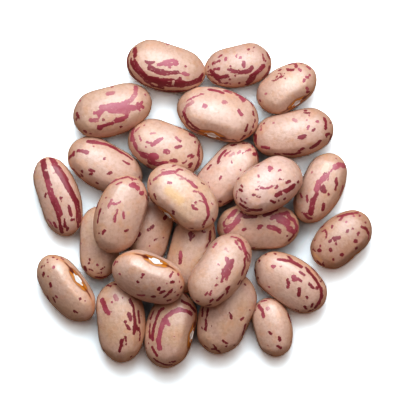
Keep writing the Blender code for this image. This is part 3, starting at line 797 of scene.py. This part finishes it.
            (0.9, 28, 1022, 800, 1074, 786), (0.5, 18, 735, 1080), (0.7, 20, 585, 965, 600, 975),
            (0.5, 18, 1140, 0),
        ],
        "whole": [
            (3, 50, 1290, 2130), (0.6, 22, 1275, 1770, 1180, 1795, 1100, 1845, 1040, 1895),
            (0.7, 26, 1025, 1925, 990, 2000, 978, 2070), (0.55, 22, 1285, 1768, 1330, 1790, 1365, 1795),
            (0.6, 40, 1350, 1850, 1390, 1880), (0.65, 22, 1410, 1930, 1440, 1920),
            (0.85, 14, 1460, 1950, 1475, 1990), (0.75, 20, 1255, 2305, 1285, 2295),
            (0.8, 18, 1040, 2320, 1060, 2295),
        ],
    },
    "underLeft": {
        "left": [
            (0.95, 32, 475, 1250), (0.9, 24, 450, 1302, 462, 1298), (0.6, 24, 590, 1330),
            (0.85, 20, 648, 1402, 700, 1360), (0.85, 22, 470, 1400, 518, 1418),
            (0.75, 22, 590, 1462, 642, 1450), (1, 60, 395, 1375, 398, 1400),
            (0.9, 28, 560, 1520, 640, 1532, 760, 1500), (0.6, 18, 310, 1310), (0.4, 18, 335, 1000),
            (0.7, 10, 470, 470, 495, 445), (0.8, 14, 360, 600),
        ],
    },
    "underMiddle": {
        "mid": [
            (1, 32, 364, 1050, 386, 1036), (1, 34, 392, 1030, 432, 992), (1, 20, 430, 1020),
            (0.95, 20, 450, 1174, 492, 1156), (1, 36, 240, 1112, 262, 1092), (1, 40, 580, 890, 600, 870),
            (0.4, 18, 390, 1250), (0.7, 18, 570, 1140), (0.9, 26, 190, 1190, 215, 1160),
        ],
    },
    "upperLayerMiddle": {
        "mid": [
            (0.4, 28, 448, 392, 500, 345, 560, 315), (0.4, 46, 570, 306, 640, 292),
            (0.4, 44, 640, 302, 715, 292), (0.65, 26, 735, 285, 775, 250, 815, 266),
            (0.7, 22, 692, 218, 725, 200), (0.5, 16, 548, 266, 582, 256), (0.7, 16, 858, 265),
            (0.65, 22, 392, 392, 405, 442), (0.4, 40, 640, 436, 670, 430), (0.3, 24, 740, 320, 800, 345),
            (0.25, 24, 785, 385, 860, 370), (0.45, 42, 895, 405, 935, 425), (0.4, 36, 935, 430, 970, 475),
            (0.6, 26, 970, 470, 1008, 492), (0.4, 20, 955, 545, 1030, 545),
            (0.6, 34, 1040, 555, 1090, 610, 1122, 690), (0.6, 36, 1122, 690, 1150, 770, 1154, 850),
            (0.75, 30, 1154, 850, 1130, 905, 1085, 972), (0.5, 16, 1048, 660, 1105, 688),
            (0.7, 34, 990, 685, 952, 720, 965, 755), (0.7, 28, 965, 755, 1010, 775), (-1, 14, 965, 712),
            (0.4, 20, 1200, 700, 1210, 712), (0.8, 24, 1210, 890, 1222, 925),
            (0.8, 22, 975, 325, 1008, 345), (0.85, 20, 1068, 430, 1100, 448),
            (0.85, 22, 452, 580, 470, 620), (0.9, 12, 475, 648), (0.9, 26, 385, 575, 382, 605),
            (1, 34, 430, 700, 452, 710), (0.9, 18, 412, 655), (1, 26, 705, 805, 695, 840),
            (0.95, 20, 1090, 1005), (0.9, 18, 880, 1018, 942, 1022), (0.9, 16, 975, 1050, 1010, 1050),
            (0.6, 20, 372, 630),
        ],
        "whole": [
            (3, 120, 1690, 1900, 1800, 2000), (0.75, 16, 1940, 1745, 1962, 1757),
            (0.75, 20, 2078, 1810, 2085, 1832), (0.4, 34, 1640, 1740, 1700, 1725, 1760, 1720),
            (0.9, 22, 1730, 2110, 1740, 2140), (0.9, 18, 1545, 1950, 1560, 1990),
            (0.5, 26, 1690, 1825, 1715, 1830), (0.95, 16, 1490, 1940, 1510, 1990, 1550, 2030),
        ],
    },
    "underCentre": {
        "low": [
            (0.95, 66, 530, 180, 550, 200), (0.95, 26, 535, 225, 528, 262), (0.45, 38, 405, 408, 402, 470),
            (0.8, 42, 400, 490, 392, 555), (0.95, 34, 788, 150, 778, 270), (0.6, 24, 830, 100, 852, 190),
            (0.6, 16, 240, 350), (0.85, 26, 690, 150, 715, 155), (0.8, 20, 750, 320, 738, 350),
        ],
    },
}

hiddenMarks = {  # how many streaks and specks are strewn on a bean, where only its underside takes them
    "streaked": (7, 16),
    "speckled": (3, 24),
    "sparse": (1, 14),
}
kinds = {
    "streaked": ("topLeft", "upperLeft", "farLeft", "topMiddle", "innerLeft", "rightShoulder", "underRight",
                 "lowerRight", "bottomMiddle"),
    "speckled": ("upperMiddle", "upperRight", "innerRight", "upperLayerRight", "upperLayerCentre",
                 "bottomRight", "bottomLeft", "upperLayerLeft", "upperLayerMiddle"),
    "sparse": ("leftShoulder", "topRight", "smallOne", "outerLeft", "upperLayerLow", "underLeft",
               "underMiddle", "underCentre"),
}
brushValues = {
    "widthShare": 0.96,  # of a mark's drawn width
    "widthMore": 0.08,  # mm added to its radius, which its ragged edge takes back
    "spacing": 0.25,  # mm between the dabs along a mark
    "bareDarkness": 0.7,  # where no mark is
    "streakReach": (0.35, 1.0),  # in half lengths of a bean
    "speckReach": (0.02, 0.09),
    "streakRadius": (0.2, 0.5),  # mm
    "speckRadius": (0.12, 0.26),
    "hiddenStep": 0.035,  # in half lengths
    "hiddenEnd": 0.97,
    "facingDown": -0.22,  # the normal's height below which a strewn mark shows
}


def along(points, spacing):  # points at this spacing along a line, its ends included
    placed = [Vector(points[0])]
    for one, two in zip(points, points[1:]):
        steps = max(1, math.ceil((Vector(two) - Vector(one)).length / spacing))
        placed += [Vector(one).lerp(Vector(two), step / steps) for step in range(1, steps + 1)]
    return placed


def drawnMarks(name):  # (darkness, radius in mm, points in mm) of each mark drawn on a bean
    for sheet, lines in marks[name].items():
        left, top, scale = sheets[sheet]
        for darkness, width, *flat in lines:
            points = [((left + u / scale - planMiddle[0]) * planUnit,
                       (planMiddle[1] - top - v / scale) * planUnit)
                      for u, v in zip(flat[::2], flat[1::2])]
            radius = width / scale * planUnit / 2 * brushValues["widthShare"] + brushValues["widthMore"]
            yield darkness, radius, points


def paintMarks(bean, name, kind, number):
    mesh = bean.data
    points = readPoints(mesh) / mm
    normals = readPoints(mesh, "normal")
    corners = [Vector(point) for point in points]
    tree = BVHTree.FromPolygons(corners, [tuple(face.vertices) for face in mesh.polygons])
    depth = np.full(len(points), -1.0)
    dark = np.full(len(points), brushValues["bareDarkness"])

    def paint(darkness, radius, samples):
        offsets = points[:, None, :] - np.array(samples)[None, :, :]
        inside = radius - np.sqrt((offsets ** 2).sum(axis=2)).min(axis=1)
        if darkness < 0:
            np.minimum(depth, -inside, out=depth)
        else:
            dark[inside > depth] = darkness
            np.maximum(depth, inside, out=depth)

    for darkness, radius, line in drawnMarks(name):
        samples = []
        for x, y in along(line, brushValues["spacing"]):
            hit = tree.ray_cast(Vector((x, y, farOff)), Vector((0, 0, -1)))[0]
            samples.append(tuple(hit or tree.find_nearest(Vector((x, y, points[:, 2].mean())))[0]))
        paint(darkness, radius, samples)

    chance = random.Random(number)
    half = (seedValues["length"] / 2, seedValues["width"] / 2, seedValues["thickness"] / 2)
    unit = readPoints(mesh, "seedPlace") / half
    unit /= np.linalg.norm(unit, axis=1)[:, None]
    streaks, specks = hiddenMarks[kind]
    for index in range(streaks + specks):
        streak = index < streaks
        start = chance.uniform(-0.8, 0.8)
        reach = chance.uniform(*brushValues["streakReach" if streak else "speckReach"])
        angle = chance.uniform(0, math.tau)
        drift = chance.uniform(-0.4, 0.4)
        darkness = chance.choice((0.45, 0.7, 0.85, 0.95))
        radius = chance.uniform(*brushValues["streakRadius" if streak else "speckRadius"])
        samples = []
        for step in range(1 + math.ceil(reach / brushValues["hiddenStep"])):
            x = start + step * brushValues["hiddenStep"]
            if abs(x) > brushValues["hiddenEnd"]:
                break
            turn = angle + drift * (x - start)
            ring = math.sqrt(1 - x * x)
            nearest = int(np.argmax(unit @ (x, ring * math.cos(turn), ring * math.sin(turn))))
            if normals[nearest, 2] < brushValues["facingDown"]:
                samples.append(tuple(points[nearest]))
        if samples:
            paint(darkness, radius, samples)
    writeValues(mesh, "markDepth", depth)
    writeValues(mesh, "markDark", dark)


# the skin

skinValues = {  # colours of the coat, of its marks and of the eye, then its finish
    "pink": (0.675, 0.455, 0.40, 1),
    "peach": (0.685, 0.47, 0.385, 1),
    "tan": (0.70, 0.475, 0.335, 1),
    "shade": (0.50, 0.28, 0.19, 1),
    "pale": (0.78, 0.60, 0.52, 1),
    # warm also colours the painted glow and shade round the bean's sides
    "warm": (0.70, 0.38, 0.22, 1),
    "ripe": (0.75, 0.655, 0.605, 1),  # what is left of the light on the brownest bean
    "rim": (0.64, 0.27, 0.09, 1),
    "maroon": (0.215, 0.003, 0.02, 1),
    "wine": (0.37, 0.022, 0.062, 1),
    "faint": (0.43, 0.10, 0.145, 1),
    "scar": (0.70, 0.50, 0.385, 1),
    "stain": (0.80, 0.50, 0.22, 1),
    "amber": (0.62, 0.24, 0.02, 1),
    "eyeBrown": (0.16, 0.025, 0.012, 1),
    "eyeWhite": (0.80, 0.77, 0.75, 1),
    "clouds": (  # colour, scale, detail and roughness of its noise, where it starts and is full, strength
        ("peach", 0.22, 2.0, 0.5, 0.35, 0.65, 1.0),
        ("warm", 0.42, 4.0, 0.6, 0.50, 0.66, 0.4),
        ("pale", 0.95, 3.0, 0.6, 0.52, 0.66, 0.3),
        ("shade", 1.6, 5.0, 0.6, 0.42, 0.70, 0.4),  # the finest, which the roughness follows too
    ),
    "roughness": 0.40,
    "gloss": 0.75,
    "sheen": 0.5,  # weight of a clear coat, which whitens the lights on the skin
    "sheenRoughness": 0.36,
    "coronaSize": (3.1, 1.1),  # mm, half the length and half the width of the amber ring
    "whiteSize": (1.85, 0.74),
    "tipSize": (0.65, 0.5),  # the dark spot at one end of the ring
    "tipPlace": -2.45,
    "bumpStrength": 0.42,
    "bumpHeight": 0.2,  # mm
    "glowWeight": 0.04,  # light that passes under the skin
    "glowRadius": (1.0, 0.35, 0.15),
    "glowScale": 1.0,  # mm
}


def skinMaterial(values):
    material = bpy.data.materials.new("beanSkin")
    material.use_nodes = True
    tree = material.node_tree
    shader = tree.nodes["Principled BSDF"]
    wire = Wire(tree)
    place = wire.attribute("seedPlace", "Vector")  # mm on the usual bean, which every copy keeps
    number = wire.attribute("seedNumber")
    tint = wire.attribute("seedTint")
    apart = number.node("ShaderNodeCombineXYZ", inputs={0: number * 17.3, 1: number * 5.1, 2: number * 9.7})
    own = wire.vector("ADD", place, apart)  # so that no two beans have the same pattern
    stretched = wire.vector("MULTIPLY", own, (0.45, 1.0, 1.0))

    skin = tint.step(-1.0, 1.0).blend(values["pink"], values["tan"])
    for colour, scale, detail, roughness, low, high, strength in values["clouds"]:
        grain = own.noise(scale, detail, roughness)
        skin = (grain.step(low, high) * strength).blend(skin, values[colour])
    browner = wire.attribute("seedRipe").blend((1, 1, 1, 1), values["ripe"])
    skin = wire.vector("MULTIPLY", skin, browner)

    paintedSideGlow = 1.0 - wire.maths("ABSOLUTE", place.part(2)).step(0.0, 2.4)  # painted warm shade and glow round the bean's sides, standing in for light under the skin
    skin = (paintedSideGlow * (place.part(1).step(2.0, -1.0) * 0.2 + 0.28)).blend(skin, values["warm"])
    edge = (1.0 - wire.maths("ABSOLUTE", place.part(2)).step(0.0, 0.8)) * place.part(1).step(-1.0, 2.0)
    skin = (edge * 0.5).blend(skin, values["rim"])  # a warmer line along the eye side

    # the marks: ragged edges, pits, and a pigment from faint pink to maroon
    ragged = (stretched.noise(1.3, 2.0) - 0.49) * 0.5 + (stretched.noise(5.0, 2.0) - 0.5) * 0.45
    pits = stretched.noise(3.4, 1.0).step(0.67, 0.71)
    depth = wire.attribute("markDepth") + ragged
    dark = wire.attribute("markDark") + (stretched.noise(0.8, 2.0) - 0.5) * 0.45
    mottle = stretched.noise(2.6, 3.0, 0.6)
    mask = depth.step(-0.035, 0.065) * (1.0 - pits * depth.step(0.18, 0.32) * 0.6)
    pigment = (dark * 1.25 - 0.25).blend(values["faint"], values["wine"])
    pigment = dark.step(0.45, 1.0).blend(pigment, values["maroon"])
    pigment = (mottle.step(0.5, 0.8) * 0.35).blend(pigment, values["wine"])
    pigment = dark.step(1.3, 1.6).blend(pigment, values["scar"])
    stain = dark.step(2.3, 2.6)
    skin = (mask * (1.0 - stain) * (dark.step(0.1, 0.45) * 0.5 + 0.46)).blend(skin, pigment)
    skin = (stain * depth.step(-0.25, 0.9) * 0.6).blend(skin, values["stain"])

    # the eye
    alongEye = place.part(0)
    acrossEye = place.part(2)
    facing = place.part(1).step(2.6, 3.2)

    def oval(size, middle=0.0):  # 0 in its middle, 1 on its rim
        return ((alongEye - middle) / size[0]) ** 2.0 + (acrossEye / size[1]) ** 2.0

    corona = oval(values["coronaSize"])
    white = oval(values["whiteSize"])
    tip = oval(values["tipSize"], values["tipPlace"])
    beyond = wire.maths("ABSOLUTE", alongEye)
    seam = wire.maths("ABSOLUTE", acrossEye).step(0.32, 0.1) * beyond.step(2.1, 2.7) * beyond.step(5.8, 4.2)
    skin = (facing * corona.step(1.5, 0.9) * 0.7).blend(skin, values["eyeBrown"])
    skin = (facing * corona.step(1.15, 0.8)).blend(skin, values["amber"])
    skin = (facing * tip.step(1.2, 0.6)).blend(skin, values["eyeBrown"])
    skin = (facing * seam * 0.8).blend(skin, values["eyeBrown"])
    skin = (facing * white.step(2.0, 1.3) * 0.45).blend(skin, values["eyeBrown"])
    skin = (facing * white.step(1.25, 0.95)).blend(skin, values["eyeWhite"])

    tree.links.new(skin.socket, shader.inputs["Base Color"])
    rough = grain * 0.16 + mask * 0.15 + (values["roughness"] - 0.06)
    tree.links.new(rough.socket, shader.inputs["Roughness"])
    relief = own.noise(3.5, 4.0, 0.6) * 0.5 + own.noise(0.9, 2.0) + stretched.noise(2.2, 3.0, 0.6) * 0.7
    bump = relief.node("ShaderNodeBump", inputs={"Strength": values["bumpStrength"],
                                                 "Distance": values["bumpHeight"] * mm, "Height": relief})
    tree.links.new(bump.socket, shader.inputs["Normal"])
    constants = {
        "Specular IOR Level": values["gloss"],
        "Coat Weight": values["sheen"],
        "Coat Roughness": values["sheenRoughness"],
        "Subsurface Weight": values["glowWeight"],
        "Subsurface Radius": values["glowRadius"],
        "Subsurface Scale": values["glowScale"] * mm,
    }
    for socket, value in constants.items():
        shader.inputs[socket].default_value = value
    return material


# the heap

print("modelling one bean")
master = modelSeed(seedValues)
plans = {**floorBeans, **upperBeans, **apartBeans}
print("laying the beans")
cages = {name: layBean(master, name, plan, 0) for name, plan in plans.items()}
placed, pile = {}, []
for name, plan in {**floorBeans, **apartBeans}.items():
    placed[name], shape = layOnFloor(cages[name], plan)
    if name in floorBeans:
        pile.append(shape)
for name, plan in upperBeans.items():
    placed[name], shape = settle(cages[name], plan, pile)
    pile.append(shape)
for cage in cages.values():
    bpy.data.objects.remove(cage)

print("shaping each bean")
beans = {}
for number, (name, plan) in enumerate(plans.items()):
    bean = layBean(master, name, plan, seedValues["smoothing"])
    bean.data.transform(Matrix.Scale(mm, 4) @ placed[name])
    values = np.ones(len(bean.data.vertices))
    writeValues(bean.data, "seedNumber", values * number)
    writeValues(bean.data, "seedTint", values * plan[-1])
    writeValues(bean.data, "seedRipe", values * ripeness.get(name, 0))
    beans[name] = bean
bpy.data.objects.remove(master)

print("painting the marks")
kindOf = {name: kind for kind, names in kinds.items() for name in names}
for number, (name, bean) in enumerate(beans.items()):
    paintMarks(bean, name, kindOf.get(name, "speckled"), number)

corners = np.concatenate([readPoints(bean.data) for bean in beans.values()])
planShift = Vector((cadBox[0] + cadBox[1]) / 2) - Vector((corners.min(axis=0) + corners.max(axis=0)) / 2)
planShift.z = 0  # only along the floor
for bean in beans.values():
    bean.data.transform(Matrix.Translation(planShift))
    floorLevel = readPoints(bean.data)
    floorLevel[:, 2] = floorLevel[:, 2].clip(0)  # the flat spot that it lies on
    bean.data.vertices.foreach_set("co", floorLevel.ravel())
    bean.data.update()

print("joining the beans of a kind")
skin = skinMaterial(skinValues)
pieces = {"beanApart": beans["beanApart"]}
for kind, names in kinds.items():
    pickOnly(*[beans[name] for name in names])
    bpy.ops.object.join()
    pieces[kind] = bpy.context.object
    pieces[kind].name = kind + "Beans"
for kind, piece in pieces.items():
    piece.data.materials.clear()
    piece.data.materials.append(skin)
    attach(piece, "root")
    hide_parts("bean_apart" if kind == "beanApart" else "bean_heap")


# the studio

studioValues = {
    "floorSize": 3.0,  # metres
    "floorSeen": 1.65,  # overexposed white paper
    "paintedGapShadows": (  # painted shadows on the floor in the deepest gaps: x, y and reach in mm, and what is left of the floor's brightness in the middle
        (-10.6, -19.4, 4.5, 0.2), (11.2, 8.9, 4, 0.25), (-1.6, -19.5, 5, 0.25), (-11, 5.5, 4.5, 0.3),
        (4.2, -2.5, 8, 0.3), (16.6, 0, 4, 0.3), (8.8, 12.4, 3, 0.5), (-1.5, -24.5, 4, 0.3),
        (18.6, -4.4, 4, 0.5), (16.5, -8.0, 8.5, 0.55), (-20.4, -15.2, 5.5, 0.6), (-6, -5, 5, 0.3),
    ),
    "floorBounce": (0.35, 0.25, 0.185, 1),
    "floorTint": (0.93, 1.0, 1.03),
    "ambient": 0.042,
    "ambientColour": (1.0, 0.60, 0.46),
    "cameraHeight": 0.9,
    "middleHeight": 0.0037,  # of the beans, at which the picture has the plan's scale
    "sensor": 36,
    "nearest": 0.05,
    "lights": {  # power, width and depth, place, colour
        "dome": (2.31, 0.72, 0.60, (0.01, 0.265, 0.41), (0.95, 0.99, 1.0)),
        "core": (1.015, 0.28, 0.25, (-0.005, 0.315, 0.375), (0.84, 0.98, 1.07)),
        "fill": (0.095, 0.40, 0.40, (0.16, -0.14, 0.28), (1.0, 0.54, 0.37)),
    },
}


def studio(values):
    bpy.ops.object.select_all(action="DESELECT")
    bpy.ops.mesh.primitive_plane_add(size=values["floorSize"])
    floor = bpy.context.object
    floor.name = "floor"
    paper = bpy.data.materials.new("floorPaper")
    paper.use_nodes = True
    tree = paper.node_tree
    seen = Wire(tree).node("ShaderNodeLightPath")
    spot = seen.node("ShaderNodeTexCoord", output=3)
    tone = values["floorSeen"]
    # the paper's brightness is cut by the painted shadows in the gaps
    for x, y, reach, left in values["paintedGapShadows"]:
        gap = (x * mm, y * mm, 0)
        apart = seen.node("ShaderNodeVectorMath", {"operation": "DISTANCE"}, {0: spot, 1: gap}, 1)
        tone = tone * (apart.step(0, reach * mm) * (1 - left) + left)
    colour = seen.blend(values["floorBounce"], tone.vector("MULTIPLY", tone, values["floorTint"]))
    surface = colour.node("ShaderNodeBsdfDiffuse", inputs={"Color": colour})
    tree.links.new(surface.socket, tree.nodes["Material Output"].inputs["Surface"])
    floor.data.materials.append(paper)

    world = bpy.data.worlds.new("studio")
    world.use_nodes = True
    world.node_tree.nodes["Background"].inputs["Color"].default_value = (*values["ambientColour"], 1)
    world.node_tree.nodes["Background"].inputs["Strength"].default_value = values["ambient"]
    bpy.context.scene.world = world

    for name, (power, width, depth, place, colour) in values["lights"].items():
        light = bpy.data.lights.new(name, "AREA")
        light.shape = "RECTANGLE"
        light.size = width
        light.size_y = depth
        light.energy = power
        light.color = colour
        lamp = bpy.data.objects.new(name, light)
        lamp.location = place
        lamp.rotation_euler = (-lamp.location).to_track_quat("-Z", "Y").to_euler()
        bpy.context.scene.collection.objects.link(lamp)

    lens = bpy.data.cameras.new("camera")
    camera = bpy.data.objects.new("camera", lens)
    frameWidth = planSide * planUnit * mm  # of the square picture
    lens.sensor_width = values["sensor"]
    lens.lens = values["sensor"] * values["cameraHeight"] / frameWidth
    lens.clip_start = values["nearest"]
    middle = ((planSide / 2 - planMiddle[0]) * planUnit * mm, (planMiddle[1] - planSide / 2) * planUnit * mm)
    height = values["cameraHeight"] + values["middleHeight"]
    camera.location = (middle[0] + planShift.x, middle[1] + planShift.y, height)
    bpy.context.scene.collection.objects.link(camera)
    bpy.context.scene.camera = camera
    bpy.context.scene.view_settings.view_transform = "Standard"
    bpy.context.scene.view_settings.look = "High Contrast"


print("setting the studio")
studio(studioValues)
print("shift of the plan in mm", [round(value / mm, 3) for value in planShift])
